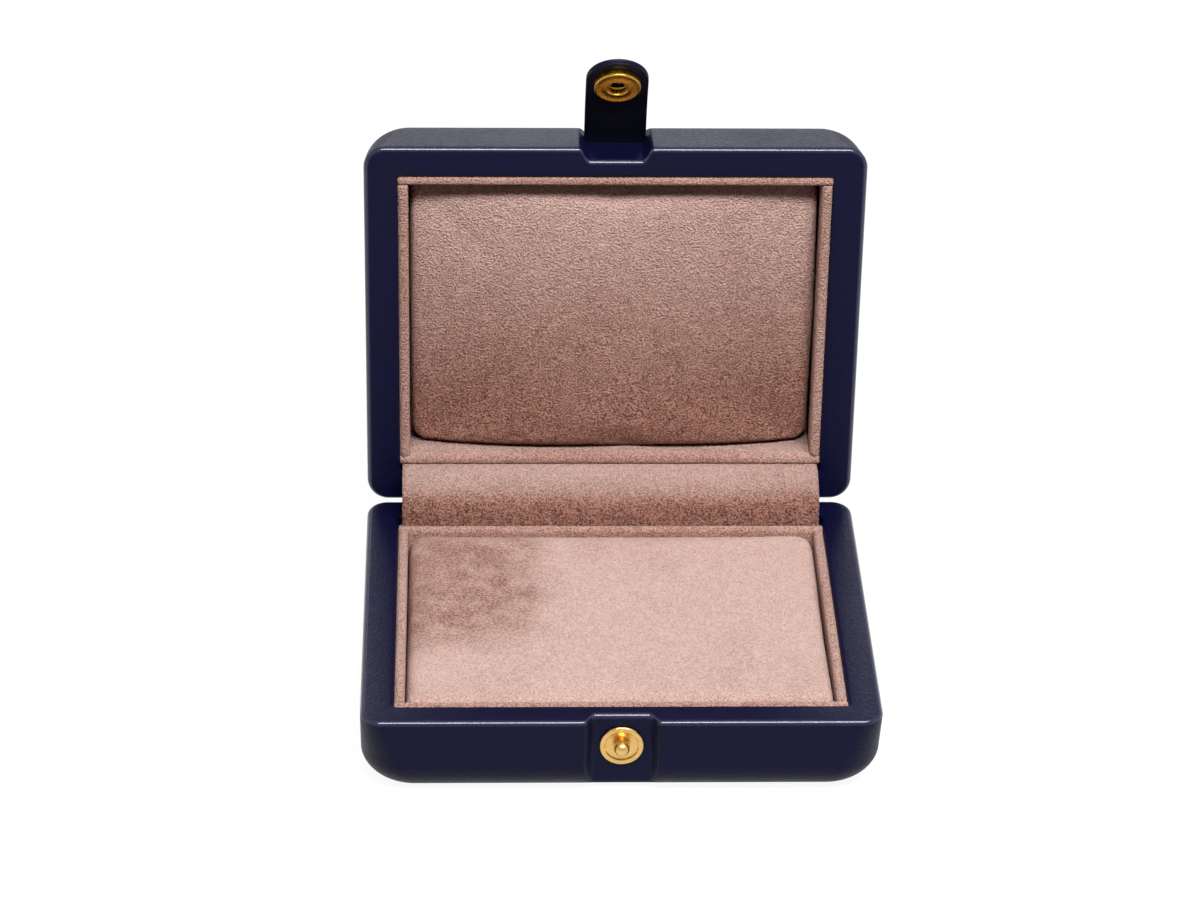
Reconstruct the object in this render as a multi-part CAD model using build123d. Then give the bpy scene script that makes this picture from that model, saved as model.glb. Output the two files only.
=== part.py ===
"""A flat hinged case for a cut gemstone.

Two wooden halves are covered in leather and lined with suede. The lid stands open on a
slim brass hinge between the rear rims. A leather tab at the front carries the socket of
a snap fastener, whose stud sits in a shallow recess in the base.

Both halves are built in the same way, in a frame of their own: the rim lies at zero and
the outer face points up. The base is then turned over and the lid is swung open.
"""
from build123d import *
from dataclasses import dataclass
import math
import os

# Whole case
case_width = 120.0
case_depth = 96.0
parting_gap = 0.2
open_angle = 92.0

# Outer form of the halves: the corners are tight at the rim and round at the outer face
base_height = 21.0
lid_height = 17.0
rim_corner_radius = 5.0
outer_corner_radius = 13.0
base_edge_radius = 8.5
lid_edge_radius = 7.0
rim_bevel = 0.7
base_core_bevel = 6.0
lid_core_bevel = 4.9

# Leather cover
leather_thickness = 0.8
leather_turn_in = 5.0
bottom_turn_under = 3.0
bottom_panel_corner_radius = 6.0
packing_below_rim = 2.5

# Rims and cavities
base_rim_side = 7.8
base_rim_front = 7.0
base_rim_back = 7.4
base_floor_thickness = 3.2
lid_rim_side = 8.1
lid_rim_front = 7.8
lid_rim_back = 8.1
lid_roof_thickness = 2.7

# Front recess that the tab lies in
recess_wall_spacing = 16.0
recess_roll_radius = 1.4
base_recess_depth = 3.0
lid_recess_depth = 3.3

# Suede lining strips on card
suede_thickness = 0.8
liner_card_thickness = 1.6
lip_below_rim = 0.3
lip_radius = 0.6

# Pads
pad_clearance = 0.15
pad_board_thickness = 1.5
base_pad_below_rim = 0.3
base_pad_bow_across = 0.3
base_pad_bow_along = 0.3
base_pad_edge_radius = 1.2
base_pad_front_corner = 1.5
base_pad_back_corner = 5.5
lid_pad_below_rim = 3.0
lid_pad_bow_across = 1.5
lid_pad_bow_along = 5.0
lid_pad_edge_radius = 2.5
lid_pad_corner = 4.0

# Suede strip that hides the hinge, and the leather spine outside
strip_reach_base = 10.85
strip_reach_lid = 9.7
strip_thickness = 0.8
strip_bend_radius = 10.0
strip_tail = 9.0
strip_end_clearance = 0.6
spine_width = 100.0
spine_thickness = 0.6
spine_bend_radius = 3.2
spine_tail = 5.5

# Hinge
hinge_length = 96.0
hinge_leaf_width = 6.0
hinge_leaf_thickness = 0.8
knuckle_count = 5
knuckle_radius = 1.2
knuckle_side_gap = 0.15
knuckle_cove_clearance = 0.3
pin_radius = 0.5
pin_clearance = 0.05
nails_per_leaf = 3
nail_spacing = 36.0
nail_from_axis = 3.7
nail_radius = 0.6
nail_length = 6.0

# Snap fastener
stud_below_rim = 8.2
stud_ring_radius = 5.15
stud_ring_height = 0.9
stud_ring_bevel = 0.3
stud_dish_radius = 3.35
stud_dish_depth = 1.6
stud_wall = 0.4
stud_neck_radius = 1.35
ball_radius = 1.85
ball_above_floor = 1.5
ball_profile_angles = (-20.0, 20.0, 55.0)
rivet_stem_radius = 0.8
rivet_flange_radius = 3.2
rivet_flange_thickness = 0.6
snap_gap = 0.1
socket_radius = 5.5
socket_height = 1.8
socket_hole_radius = 2.45
socket_lip = 0.3
socket_chamber_radius = 3.0
socket_sink = 0.85
socket_wall = 0.35
socket_floor_thickness = 0.18
spring_thickness = 0.35
spring_across_flats = 3.95
cap_radius = 5.9
cap_thickness = 0.9
cap_stem_radius = 1.0
cap_flare_radius = 1.6
cap_flare_thickness = 0.12

# Tab
tab_width = 14.8
tab_lean = 28.5
tab_root_above_rim = 10.7
tab_root_clearance = 0.5
tab_lining_thickness = 0.7
tab_stiffener_thickness = 0.35
tab_outer_thickness = 0.75
tab_stiffener_margin = 1.0
tab_edge_radius = 0.3
slit_clearance = 0.1
anchor_leg = 6.0
fold_end_gap = 0.2

# Values that follow from the sizes above
overshoot = 2.0
lid_rim_height = base_height + parting_gap
axis_y = case_depth / 2
axis_z = base_height + parting_gap / 2
hinge_axis = Axis((0, axis_y, axis_z), (1, 0, 0))
liner_thickness = suede_thickness + liner_card_thickness


@dataclass(frozen=True)
class Half:
    """Sizes of one half of the case, in its own frame: rim at zero, outer face up."""

    height: float
    edge_radius: float
    core_bevel: float
    rim_side: float
    rim_front: float
    rim_back: float
    wall_at_face: float
    recess_depth: float
    strip_reach: float

    @property
    def cavity_depth(self):
        return self.height - leather_thickness - self.wall_at_face

    @property
    def cavity_width(self):
        return case_width - 2 * self.rim_side

    @property
    def cavity_front(self):
        return -case_depth / 2 + self.rim_front

    @property
    def cavity_back(self):
        return case_depth / 2 - self.rim_back

    @property
    def liner_back(self):
        return case_depth / 2 - self.strip_reach

    @property
    def recess_floor(self):
        return -case_depth / 2 + self.recess_depth


base_half = Half(
    base_height, base_edge_radius, base_core_bevel, base_rim_side, base_rim_front,
    base_rim_back, base_floor_thickness, base_recess_depth, strip_reach_base,
)
lid_half = Half(
    lid_height, lid_edge_radius, lid_core_bevel, lid_rim_side, lid_rim_front,
    lid_rim_back, lid_roof_thickness, lid_recess_depth, strip_reach_lid,
)


def to_base(piece):
    """Turn a piece of a half over, so that its rim faces up at the base's height."""
    return Pos(0, 0, base_height) * mirror(piece, about=Plane.XY)


def to_closed_lid(piece):
    """Set a piece of a half on the closed lid."""
    return Pos(0, 0, lid_rim_height) * piece


def open_with_lid(piece):
    """Swing a piece of the closed lid back about the hinge."""
    return piece.rotate(hinge_axis, -open_angle)


def to_lid(piece):
    return open_with_lid(to_closed_lid(piece))


def block(x_min, x_max, y_min, y_max, z_min, z_max):
    """A box between two corners."""
    size = (x_max - x_min, y_max - y_min, z_max - z_min)
    middle = ((x_min + x_max) / 2, (y_min + y_max) / 2, (z_min + z_max) / 2)
    return Pos(*middle) * Box(*size)


def corner_radius(half, height):
    """Radius of the corners seen from above, at a height from the rim."""
    return rim_corner_radius + (outer_corner_radius - rim_corner_radius) * height / half.height


def level_outline(half, height, inset, corner_inset):
    """Outline of a half at a height, drawn in from its sides by an inset."""
    plan = RectangleRounded(
        case_width - 2 * inset, case_depth - 2 * inset, corner_radius(half, height) - corner_inset
    )
    return Pos(0, 0, height) * plan


def outer_form(half):
    """Outside of a half: rounded outer edge and a small bevel at the rim."""
    form = loft(
        [
            level_outline(half, 0, rim_bevel, rim_bevel),
            level_outline(half, rim_bevel, 0, 0),
            level_outline(half, half.height, 0, 0),
        ],
        ruled=True,
    )
    form = fillet(form.faces().sort_by(Axis.Z)[-1].edges(), half.edge_radius)
    return form - recess_cutter(half, 0)


def core_form(half):
    """Outside of the wood: one leather thickness further in, with a bevelled outer edge."""
    skin = leather_thickness
    shoulder = half.height - skin - half.core_bevel
    bevelled = skin + half.core_bevel
    form = loft(
        [
            level_outline(half, skin, skin, skin),
            level_outline(half, shoulder, skin, skin),
            level_outline(half, half.height - skin, bevelled, bevelled),
        ],
        ruled=True,
    )
    return form - recess_cutter(half, skin)


def recess_cutter(half, inset):
    """Upright channel in the front: a flat floor, rounded inner corners and rolled mouth edges."""
    face = -case_depth / 2 + inset
    floor = half.recess_floor + inset
    wall = recess_wall_spacing / 2 + inset
    mouth_roll = recess_roll_radius - inset
    floor_roll = recess_roll_radius + inset
    outside = face - overshoot
    mouth = wall + mouth_roll
    corner = wall - floor_roll
    side = Curve() + [
        Line((0, outside), (mouth, outside)),
        Line((mouth, outside), (mouth, face)),
        CenterArc((mouth, face + mouth_roll), mouth_roll, 270, -90),
        Line((wall, face + mouth_roll), (wall, floor - floor_roll)),
        CenterArc((corner, floor - floor_roll), floor_roll, 0, 90),
        Line((corner, floor), (0, floor)),
    ]
    outline = make_face(side + mirror(side, about=Plane.YZ))
    return Pos(0, 0, -overshoot) * extrude(outline, half.height + 2 * overshoot)


def cavity(half, growth, depth):
    """Space inside a half, from outside the rim to the given depth."""
    side = half.cavity_width / 2 + growth
    return block(
        -side, side, half.cavity_front - growth, half.cavity_back + growth, -overshoot, depth
    )


def hinge_cove(length):
    """Groove along the rear rim that the knuckles turn in."""
    radius = knuckle_radius + knuckle_cove_clearance
    return x_cylinder(radius, length + 2 * knuckle_side_gap)


def x_cylinder(radius, length, x_middle=0.0):
    """Round bar on the hinge axis, in a half's own frame."""
    bar = Rot(0, 90, 0) * Cylinder(radius, length)
    return Pos(x_middle, axis_y, -parting_gap / 2) * bar


def hinge_pocket():
    """Shallow seat for a hinge leaf in the rear rim."""
    half_length = hinge_length / 2 + knuckle_side_gap
    return block(
        -half_length, half_length, axis_y - hinge_leaf_width, axis_y + overshoot,
        -overshoot, hinge_leaf_thickness,
    )


def hinge_nails():
    """Headless brass nails through a leaf into the wood, filed flush with the leaf."""
    first = -nail_spacing * (nails_per_leaf - 1) / 2
    nail = Cylinder(nail_radius, nail_length, align=(Align.CENTER, Align.CENTER, Align.MIN))
    return Part() + [
        Pos(first + nail_spacing * number, axis_y - nail_from_axis, 0) * nail
        for number in range(nails_per_leaf)
    ]


def hinge_leaf(first_knuckle):
    """Brass leaf in the rim, with every second knuckle rolled round the pin."""
    pitch = hinge_length / knuckle_count
    back = axis_y - hinge_leaf_width
    leaf = block(-hinge_length / 2, hinge_length / 2, back, axis_y, 0, hinge_leaf_thickness)
    notch = axis_y - knuckle_radius - knuckle_side_gap
    for number in range(knuckle_count):
        middle = (number + 0.5) * pitch - hinge_length / 2
        if number % 2 == first_knuckle:
            leaf += x_cylinder(knuckle_radius, pitch - 2 * knuckle_side_gap, middle)
        else:
            leaf -= block(
                middle - pitch / 2, middle + pitch / 2, notch, axis_y + overshoot,
                -overshoot, hinge_leaf_thickness + overshoot,
            )
    leaf -= x_cylinder(pin_radius + pin_clearance, hinge_length + 2 * overshoot)
    return leaf - hinge_nails()


def hinge_pin():
    """Plain pin through all the knuckles."""
    return x_cylinder(pin_radius, hinge_length)


def front_facing(piece, half, height):
    """Turn a piece made along +Z to face forwards, with its zero plane on the recess floor."""
    return Pos(0, half.recess_floor, height) * Rot(90, 0, 0) * piece


def turned(points):
    """Turned solid about Z from radius and height pairs."""
    outline = Polyline(*points, close=True)
    return revolve(Plane.XZ * make_face(outline), Axis.Z)


def snap_stud():
    """Stud: a raised ring round a deep dish, with a ball on a neck in its middle."""
    shoulder = stud_ring_radius - stud_ring_bevel
    dish_floor = stud_ring_height - stud_dish_depth
    under = dish_floor - stud_wall
    dish_lip = stud_dish_radius + stud_wall
    neck_top = ball_above_floor - math.sqrt(ball_radius**2 - stud_neck_radius**2)
    ball = [
        polar_point((0, ball_above_floor), ball_radius, angle)
        for angle in ball_profile_angles
    ]
    return turned([
        (rivet_stem_radius, under),
        (stud_dish_radius, under),
        (dish_lip, 0),
        (shoulder, 0),
        (stud_ring_radius, stud_ring_bevel),
        (stud_ring_radius, stud_ring_height - stud_ring_bevel),
        (shoulder, stud_ring_height),
        (shoulder - stud_ring_bevel, stud_ring_height),
        (stud_dish_radius, stud_ring_height - stud_wall),
        (stud_neck_radius, dish_floor),
        (stud_neck_radius, neck_top),
        *ball,
        (0, ball_above_floor + ball_radius),
        (0, ball_above_floor),
        (rivet_stem_radius, ball_above_floor),
    ])


def stud_seat():
    """Hole in the recess floor for the back of the stud, and through it for the rivet."""
    dish_floor = stud_ring_height - stud_dish_depth
    under = dish_floor - stud_wall
    cup = Pos(0, 0, under) * Cylinder(
        stud_dish_radius + stud_wall, overshoot - under, align=(Align.CENTER, Align.CENTER, Align.MIN)
    )
    stem = Pos(0, 0, -base_half.rim_front) * Cylinder(
        rivet_stem_radius, base_half.rim_front, align=(Align.CENTER, Align.CENTER, Align.MIN)
    )
    return cup + stem


def stud_rivet():
    """Rivet from inside the wall into the stud, with its flange let into the wall."""
    wall = base_half.rim_front - base_half.recess_depth
    top = ball_above_floor
    return turned([
        (0, -wall),
        (rivet_flange_radius, -wall),
        (rivet_flange_radius, -wall + rivet_flange_thickness),
        (rivet_stem_radius, -wall + rivet_flange_thickness),
        (rivet_stem_radius, top),
        (0, top),
    ])


def rivet_seat():
    """Counterbore in the inner side of the wall for the rivet's flange."""
    wall = base_half.rim_front - base_half.recess_depth
    return Pos(0, 0, -wall - overshoot) * Cylinder(
        rivet_flange_radius, rivet_flange_thickness + overshoot,
        align=(Align.CENTER, Align.CENTER, Align.MIN),
    )


def tab_slit(width_clearance, thickness_clearance):
    """Slit through the lid's front wall for the end of the tab."""
    side = tab_width / 2 + width_clearance
    thick = tab.thickness / 2 + thickness_clearance
    return block(
        -side, side, lid_half.recess_floor - overshoot, lid_half.cavity_front + overshoot,
        tab.axis_height - thick, tab.axis_height + thick,
    )


def anchor_pocket(clearance):
    """Flat pocket behind the front lining for the glued end of the tab."""
    side = tab_width / 2 + clearance
    top = tab.axis_height + tab.thickness / 2
    return block(
        -side, side, lid_half.cavity_front - tab.thickness, lid_half.cavity_front + overshoot,
        top - anchor_leg - clearance, top + clearance,
    )


class Tab:
    """Shape of the tab as it lies when the case is shut, in the closed case's frame.

    From its tip up to the top of the socket it is straight. Above that it curves in
    towards the lid on an arc, and ends at the line about which it folds.
    """

    thickness = tab_lining_thickness + tab_stiffener_thickness + tab_outer_thickness
    stud_height = base_height - stud_below_rim
    inner_face = base_half.recess_floor - stud_ring_height - snap_gap - socket_height
    tip = stud_height - tab_width / 2
    flat_top = stud_height + socket_radius
    root_height = lid_rim_height + tab_root_above_rim
    root_face = lid_half.recess_floor - tab_root_clearance
    rise = root_height - flat_top
    offset = root_face - inner_face
    bend = 2 * math.atan2(offset, rise)
    bend_radius = rise / math.sin(bend)
    centre_y = inner_face + bend_radius
    middle_radius = bend_radius + thickness / 2
    axis_y = centre_y - middle_radius * math.cos(bend)
    axis_z = flat_top + middle_radius * math.sin(bend)
    axis = Axis((0, axis_y, axis_z), (1, 0, 0))
    axis_height = axis_z - lid_rim_height
    fold_angle = 180 - tab_lean - open_angle


tab = Tab()


def to_tab(piece):
    """Lift a piece of the closed tab about its fold, and swing it open with the lid."""
    return open_with_lid(piece.rotate(tab.axis, -tab.fold_angle))


def tab_band(near, far, margin):
    """Layer of the tab between two depths from its inner face, with its rounded end."""
    start = 180 - math.degrees(tab.bend)
    inner = tab.bend_radius + near
    outer = tab.bend_radius + far
    centre = (tab.centre_y, tab.flat_top)
    tip = tab.tip + margin
    root_inner = polar_point(centre, inner, start)
    root_outer = polar_point(centre, outer, start)
    outline = Curve() + [
        Line((tab.inner_face - near, tip), (tab.inner_face - near, tab.flat_top)),
        CenterArc(centre, inner, 180, start - 180),
        Line(root_inner, root_outer),
        CenterArc(centre, outer, start, 180 - start),
        Line((tab.inner_face - far, tab.flat_top), (tab.inner_face - far, tip)),
        Line((tab.inner_face - far, tip), (tab.inner_face - near, tip)),
    ]
    side_view = Plane.YZ * make_face(outline)
    half_width = tab_width / 2 - margin
    strap = extrude(side_view, half_width, both=True)
    return strap & tab_outline(margin)


def tab_outline(margin):
    """Front view of the tab, pushed through it: straight sides and a half-round end."""
    radius = tab_width / 2 - margin
    top = tab.axis_z + overshoot
    sides = Pos(0, (tab.stud_height + top) / 2) * Rectangle(2 * radius, top - tab.stud_height)
    end = Pos(0, tab.stud_height) * Circle(radius)
    front_view = Plane.XZ * (sides + end)
    return extrude(front_view, case_depth, both=True)


def polar_point(centre, radius, angle):
    """Point on a circle, from its centre, radius and angle in degrees."""
    turn = math.radians(angle)
    return (centre[0] + radius * math.cos(turn), centre[1] + radius * math.sin(turn))


def snap_facing(piece):
    """Turn a piece made along +Z to face the stud, with its zero plane on the tab's inner face."""
    return Pos(0, tab.inner_face, tab.stud_height) * Rot(-90, 0, 0) * piece


def snap_socket():
    """Socket: a round cup whose lip faces the stud and whose barrel is sunk in the tab."""
    barrel = socket_chamber_radius + socket_wall
    floor_top = -socket_sink
    floor_under = floor_top - socket_floor_thickness
    edge = socket_height - socket_lip
    return turned([
        (cap_stem_radius, floor_under),
        (barrel, floor_under),
        (barrel, 0),
        (socket_radius, 0),
        (socket_radius, edge),
        (socket_radius - socket_lip, socket_height),
        (socket_hole_radius + socket_lip / 2, socket_height),
        (socket_hole_radius, socket_height - socket_lip / 2),
        (socket_hole_radius, edge),
        (socket_chamber_radius, edge),
        (socket_chamber_radius, floor_top),
        (cap_stem_radius, floor_top),
    ])


def socket_spring():
    """Spring ring behind the lip, with its six-sided opening."""
    top = socket_height - socket_lip
    ring = Circle(socket_chamber_radius) - RegularPolygon(
        spring_across_flats / 2, 6, major_radius=False
    )
    return Pos(0, 0, top - spring_thickness) * extrude(ring, spring_thickness)


def snap_cap():
    """Low domed cap outside the tab, with the hollow stem that holds the socket."""
    outside = -tab.thickness
    floor_top = -socket_sink
    flare_top = floor_top + cap_flare_thickness
    dome_radius = (cap_radius**2 + cap_thickness**2) / (2 * cap_thickness)
    dome_centre = outside - cap_thickness + dome_radius
    edge = math.degrees(math.atan2(outside - dome_centre, cap_radius))
    outline = Curve() + [
        Line((0, outside - cap_thickness), (0, flare_top)),
        Line((0, flare_top), (cap_flare_radius, flare_top)),
        Line((cap_flare_radius, flare_top), (cap_flare_radius, floor_top)),
        Line((cap_flare_radius, floor_top), (cap_stem_radius, floor_top)),
        Line((cap_stem_radius, floor_top), (cap_stem_radius, outside)),
        Line((cap_stem_radius, outside), (cap_radius, outside)),
        CenterArc((0, dome_centre), dome_radius, edge, -90 - edge),
    ]
    return revolve(Plane.XZ * make_face(outline), Axis.Z)


def tab_holes(radius, near, far):
    """Round hole through layers of the tab, between two depths from its inner face."""
    return snap_facing(
        Pos(0, 0, -far) * Cylinder(radius, far - near, align=(Align.CENTER, Align.CENTER, Align.MIN))
    )


def domed_block(width, y_front, y_back, height, across_radius, along_radius, corners, edge):
    """Block on the zero plane with a top that bows both ways, and rounded corners and edge."""
    plan = Pos(0, (y_front + y_back) / 2) * Rectangle(width, y_back - y_front)
    front, back = corners
    plan = fillet(plan.vertices().group_by(Axis.Y)[0], front)
    plan = fillet(plan.vertices().group_by(Axis.Y)[-1][-2:], back)
    prism = extrude(plan, 2 * height)
    reach = width / 2 + overshoot
    drop = across_radius - math.sqrt(across_radius**2 - reach**2)
    crown = ThreePointArc((-reach, height - drop), (0, height), (reach, height - drop))
    sides = Polyline((reach, height - drop), (reach, -height), (-reach, -height), (-reach, height - drop))
    section = Plane.XZ * make_face(crown + sides)
    swing = math.degrees(math.asin((y_back - y_front + 2 * overshoot) / 2 / along_radius))
    middle = Pos(0, (y_front + y_back) / 2, 0)
    axis = Axis((0, 0, height - along_radius), (1, 0, 0))
    bowed = revolve(section.rotate(axis, -swing), axis, 2 * swing)
    dome = (middle * bowed) & prism
    if edge == 0:
        return dome
    top_edges = dome.faces().sort_by(Axis.Z)[-1].edges()
    return fillet(top_edges, edge)


def bow_radius(span, bow):
    """Radius of the arc that rises by a bow over a span."""
    return ((span / 2) ** 2 + bow**2) / (2 * bow)


def pad_pieces(half, below_rim, bow_across, bow_along, corners, edge):
    """Board, foam and suede cover of a pad, in the half's own frame."""
    inner = liner_thickness + pad_clearance
    width = half.cavity_width - 2 * inner
    front = half.cavity_front + inner
    back = half.liner_back - inner
    height = half.cavity_depth - below_rim
    across = bow_radius(width, bow_across)
    along = bow_radius(back - front, bow_along)
    skin = suede_thickness
    whole = domed_block(width, front, back, height, across, along, corners, edge)
    inner_corners = tuple(corner - skin for corner in corners)
    core = domed_block(
        width - 2 * skin, front + skin, back - skin, height - skin,
        across - skin, along - skin, inner_corners, 0,
    )
    board_space = block(-width, width, -case_depth, case_depth, 0, pad_board_thickness)
    pieces = {
        "board": core & board_space,
        "foam": core - board_space,
        "cover": whole - core,
    }
    return {
        name: Pos(0, 0, half.cavity_depth) * mirror(piece, about=Plane.XY)
        for name, piece in pieces.items()
    }


def liner_pieces(length, depth):
    """Suede-wrapped card strip along X, with its back on y = 0 and its lip just below the rim."""
    wrap = block(-length / 2, length / 2, 0, liner_thickness, lip_below_rim, depth)
    lip = wrap.edges().filter_by(Axis.X).group_by(Axis.Z)[0].sort_by(Axis.Y)[-1]
    wrap = fillet(lip, lip_radius)
    card = block(
        -length / 2, length / 2, 0, liner_card_thickness, lip_below_rim + suede_thickness, depth
    )
    return {"suede": wrap - card, "card": card}


def liner_places(half):
    """Length and place of the four lining strips of a half."""
    between = half.liner_back - half.cavity_front - 2 * liner_thickness
    middle = (half.liner_back + half.cavity_front) / 2
    side = half.cavity_width / 2
    return {
        "front": (half.cavity_width, Pos(0, half.cavity_front, 0)),
        "back": (half.cavity_width, Pos(0, half.liner_back, 0) * Rot(0, 0, 180)),
        "left": (between, Pos(-side, middle, 0) * Rot(0, 0, -90)),
        "right": (between, Pos(side, middle, 0) * Rot(0, 0, 90)),
    }


def packing_strip(half):
    """Card strip that brings the back lining forward to the hinge strip."""
    side = half.cavity_width / 2
    front = half.liner_back + strip_thickness
    return block(-side, side, front, half.cavity_back, packing_below_rim, half.cavity_depth)


def carcass(half):
    """Wooden half: the form inside the leather, hollowed out, with seats for what it carries."""
    body = core_form(half)
    body -= cavity(half, 0, half.cavity_depth)
    body -= cavity(half, leather_thickness, leather_turn_in)
    body -= hinge_pocket()
    body -= hinge_cove(hinge_length)
    return body - hinge_nails()


def leather_cover(half):
    """Leather round the outside, over the rim and a little way down inside."""
    cover = outer_form(half)
    cover -= core_form(half) - cavity(half, leather_thickness, leather_turn_in)
    cover -= cavity(half, 0, half.cavity_depth)
    cover -= hinge_pocket()
    return cover - hinge_cove(hinge_length)


def bottom_panel(growth):
    """Thin leathered board let into the underside of the base."""
    margin = base_edge_radius + bottom_turn_under
    plan = RectangleRounded(
        case_width - 2 * margin + 2 * growth, case_depth - 2 * margin + 2 * growth,
        bottom_panel_corner_radius + growth,
    )
    return Pos(0, 0, base_height - leather_thickness) * extrude(plan, leather_thickness)


def bent_strip(width, lower_end, corner, upper_end, radius, thickness):
    """Strip bent once between two straight tails, thick towards the hinge side of its face.

    The path is given in the YZ plane. The strip lies to the right of the path.
    """
    path = FilletPolyline(lower_end, corner, upper_end, radius=radius)
    section_path = Plane.YZ * path
    start = section_path @ 0
    direction = section_path % 0
    side = Vector(0, direction.Z, -direction.Y) * thickness
    section = Plane(start + side / 2, x_dir=(1, 0, 0), z_dir=direction) * Rectangle(width, thickness)
    return sweep(section, section_path)


def hinge_strip():
    """Suede strip inside, from behind the base's back lining, over the hinge, into the lid."""
    lean = math.radians(open_angle - 90)
    face = axis_y - strip_reach_base
    corner_z = axis_z + (strip_reach_lid + strip_reach_base * math.sin(lean)) / math.cos(lean)
    tangent = strip_bend_radius * math.tan(math.radians(open_angle) / 2)
    run = tangent + strip_tail
    width = min(base_half.cavity_width, lid_half.cavity_width) - 2 * strip_end_clearance
    lower = (face, corner_z - run)
    upper = (face + run * math.cos(lean), corner_z - run * math.sin(lean))
    return bent_strip(width, lower, (face, corner_z), upper, strip_bend_radius, strip_thickness)


def hinge_spine():
    """Leather strip outside, glued to both back faces and bridging the knuckles."""
    lean = math.radians(open_angle - 90)
    run = spine_bend_radius + spine_tail
    drop = spine_thickness * (1 + math.sin(lean)) / math.cos(lean)
    corner = (axis_y + spine_thickness, axis_z - drop)
    lower = (corner[0], corner[1] - run)
    upper = (corner[0] + run * math.cos(lean), corner[1] - run * math.sin(lean))
    return bent_strip(spine_width, lower, corner, upper, spine_bend_radius, -spine_thickness)


def build_half(name, half, place):
    """Pieces that both halves have, by node name."""
    nodes = {
        f"{name}_liner_{side}{suffix}": place(location * piece)
        for side, (length, location) in liner_places(half).items()
        for suffix, piece in (
            ("", liner_pieces(length, half.cavity_depth)["suede"]),
            ("_card", liner_pieces(length, half.cavity_depth)["card"]),
        )
    }
    nodes[f"{name}_hinge_nails"] = place(hinge_nails())
    nodes[f"{name}_hinge_packing"] = place(packing_strip(half))
    return nodes


def build_base():
    seat = front_facing(stud_seat(), base_half, stud_below_rim)
    counterbore = front_facing(rivet_seat(), base_half, stud_below_rim)
    panel_space = bottom_panel(0)
    nodes = build_half("base", base_half, to_base)
    nodes["base_carcass"] = to_base(carcass(base_half) - seat - counterbore)
    nodes["base_leather"] = to_base(leather_cover(base_half) - seat - panel_space)
    nodes["base_bottom_panel"] = to_base(bottom_panel(0))
    nodes["snap_stud"] = to_base(front_facing(snap_stud(), base_half, stud_below_rim))
    nodes["stud_rivet"] = to_base(front_facing(stud_rivet(), base_half, stud_below_rim))
    nodes["hinge_base_leaf"] = to_base(hinge_leaf(0))
    nodes["hinge_pin"] = to_base(hinge_pin())
    pad = pad_pieces(
        base_half, base_pad_below_rim, base_pad_bow_across, base_pad_bow_along,
        (base_pad_front_corner, base_pad_back_corner), base_pad_edge_radius,
    )
    for name, piece in pad.items():
        nodes[f"base_pad_{name}"] = to_base(piece)
    nodes["hinge_strip"] = hinge_strip()
    nodes["hinge_spine"] = hinge_spine()
    return nodes


def tab_anchor():
    """End of the tab's leather inside the lid: through the slit and glued down the wall."""
    through = tab_slit(0, 0) & block(
        -tab_width, tab_width, lid_half.recess_floor, lid_half.cavity_front,
        0, lid_half.height,
    )
    return through + (anchor_pocket(0) & block(
        -tab_width, tab_width, -case_depth, lid_half.cavity_front, 0, lid_half.height,
    ))


def tab_fold():
    """Bare leather between the slit and the tab, where it bends."""
    side = tab_width / 2
    thick = tab.thickness / 2
    return block(
        -side, side, tab.axis_y + fold_end_gap, lid_half.recess_floor,
        tab.axis_height - thick, tab.axis_height + thick,
    )


def build_lid():
    cutters = tab_slit(slit_clearance, slit_clearance) + anchor_pocket(slit_clearance)
    nodes = build_half("lid", lid_half, to_lid)
    nodes["lid_carcass"] = to_lid(carcass(lid_half) - cutters)
    nodes["lid_leather"] = to_lid(leather_cover(lid_half) - cutters)
    nodes["hinge_lid_leaf"] = to_lid(hinge_leaf(1))
    nodes["tab_anchor"] = to_lid(tab_anchor())
    nodes["tab_fold"] = to_lid(tab_fold())
    pad = pad_pieces(
        lid_half, lid_pad_below_rim, lid_pad_bow_across, lid_pad_bow_along,
        (lid_pad_corner, lid_pad_corner), lid_pad_edge_radius,
    )
    for name, piece in pad.items():
        nodes[f"lid_pad_{name}"] = to_lid(piece)
    return nodes


def build_tab():
    lining_far = tab_lining_thickness
    stiffener_far = lining_far + tab_stiffener_thickness
    barrel = socket_chamber_radius + socket_wall
    sunk = socket_sink + socket_floor_thickness
    stiffener = tab_band(lining_far, stiffener_far, tab_stiffener_margin)
    outer = tab_band(lining_far, tab.thickness, 0) - stiffener
    barrel_hole = tab_holes(barrel, -overshoot, sunk)
    stem_hole = tab_holes(cap_stem_radius, sunk, tab.thickness + overshoot)
    nodes = {
        "tab_lining": tab_band(0, lining_far, 0) - barrel_hole,
        "tab_stiffener": stiffener - barrel_hole - stem_hole,
        "tab_outer": outer - barrel_hole - stem_hole,
        "snap_socket": snap_facing(snap_socket()),
        "socket_spring": snap_facing(socket_spring()),
        "snap_cap": snap_facing(snap_cap()),
    }
    return {name: to_tab(piece) for name, piece in nodes.items()}


def build_case():
    nodes = {}
    nodes.update(build_base())
    nodes.update(build_lid())
    nodes.update(build_tab())
    return nodes


os.makedirs("parts", exist_ok=True)
for node_name, solid in build_case().items():
    export_step(solid, f"parts/{node_name}.step")
    print(node_name, f"{solid.volume:.1f}")
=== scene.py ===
"""The looks of a flat gemstone case: navy leather over wood, pink suede inside, gilt snap.

Sizes are in millimetres until a mesh is made. Both halves are drawn in a frame of their
own, with the rim at zero and the outer face up, and are then turned into their places.
"""

import bpy
import numpy as np
from mathutils import Matrix, Vector


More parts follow.
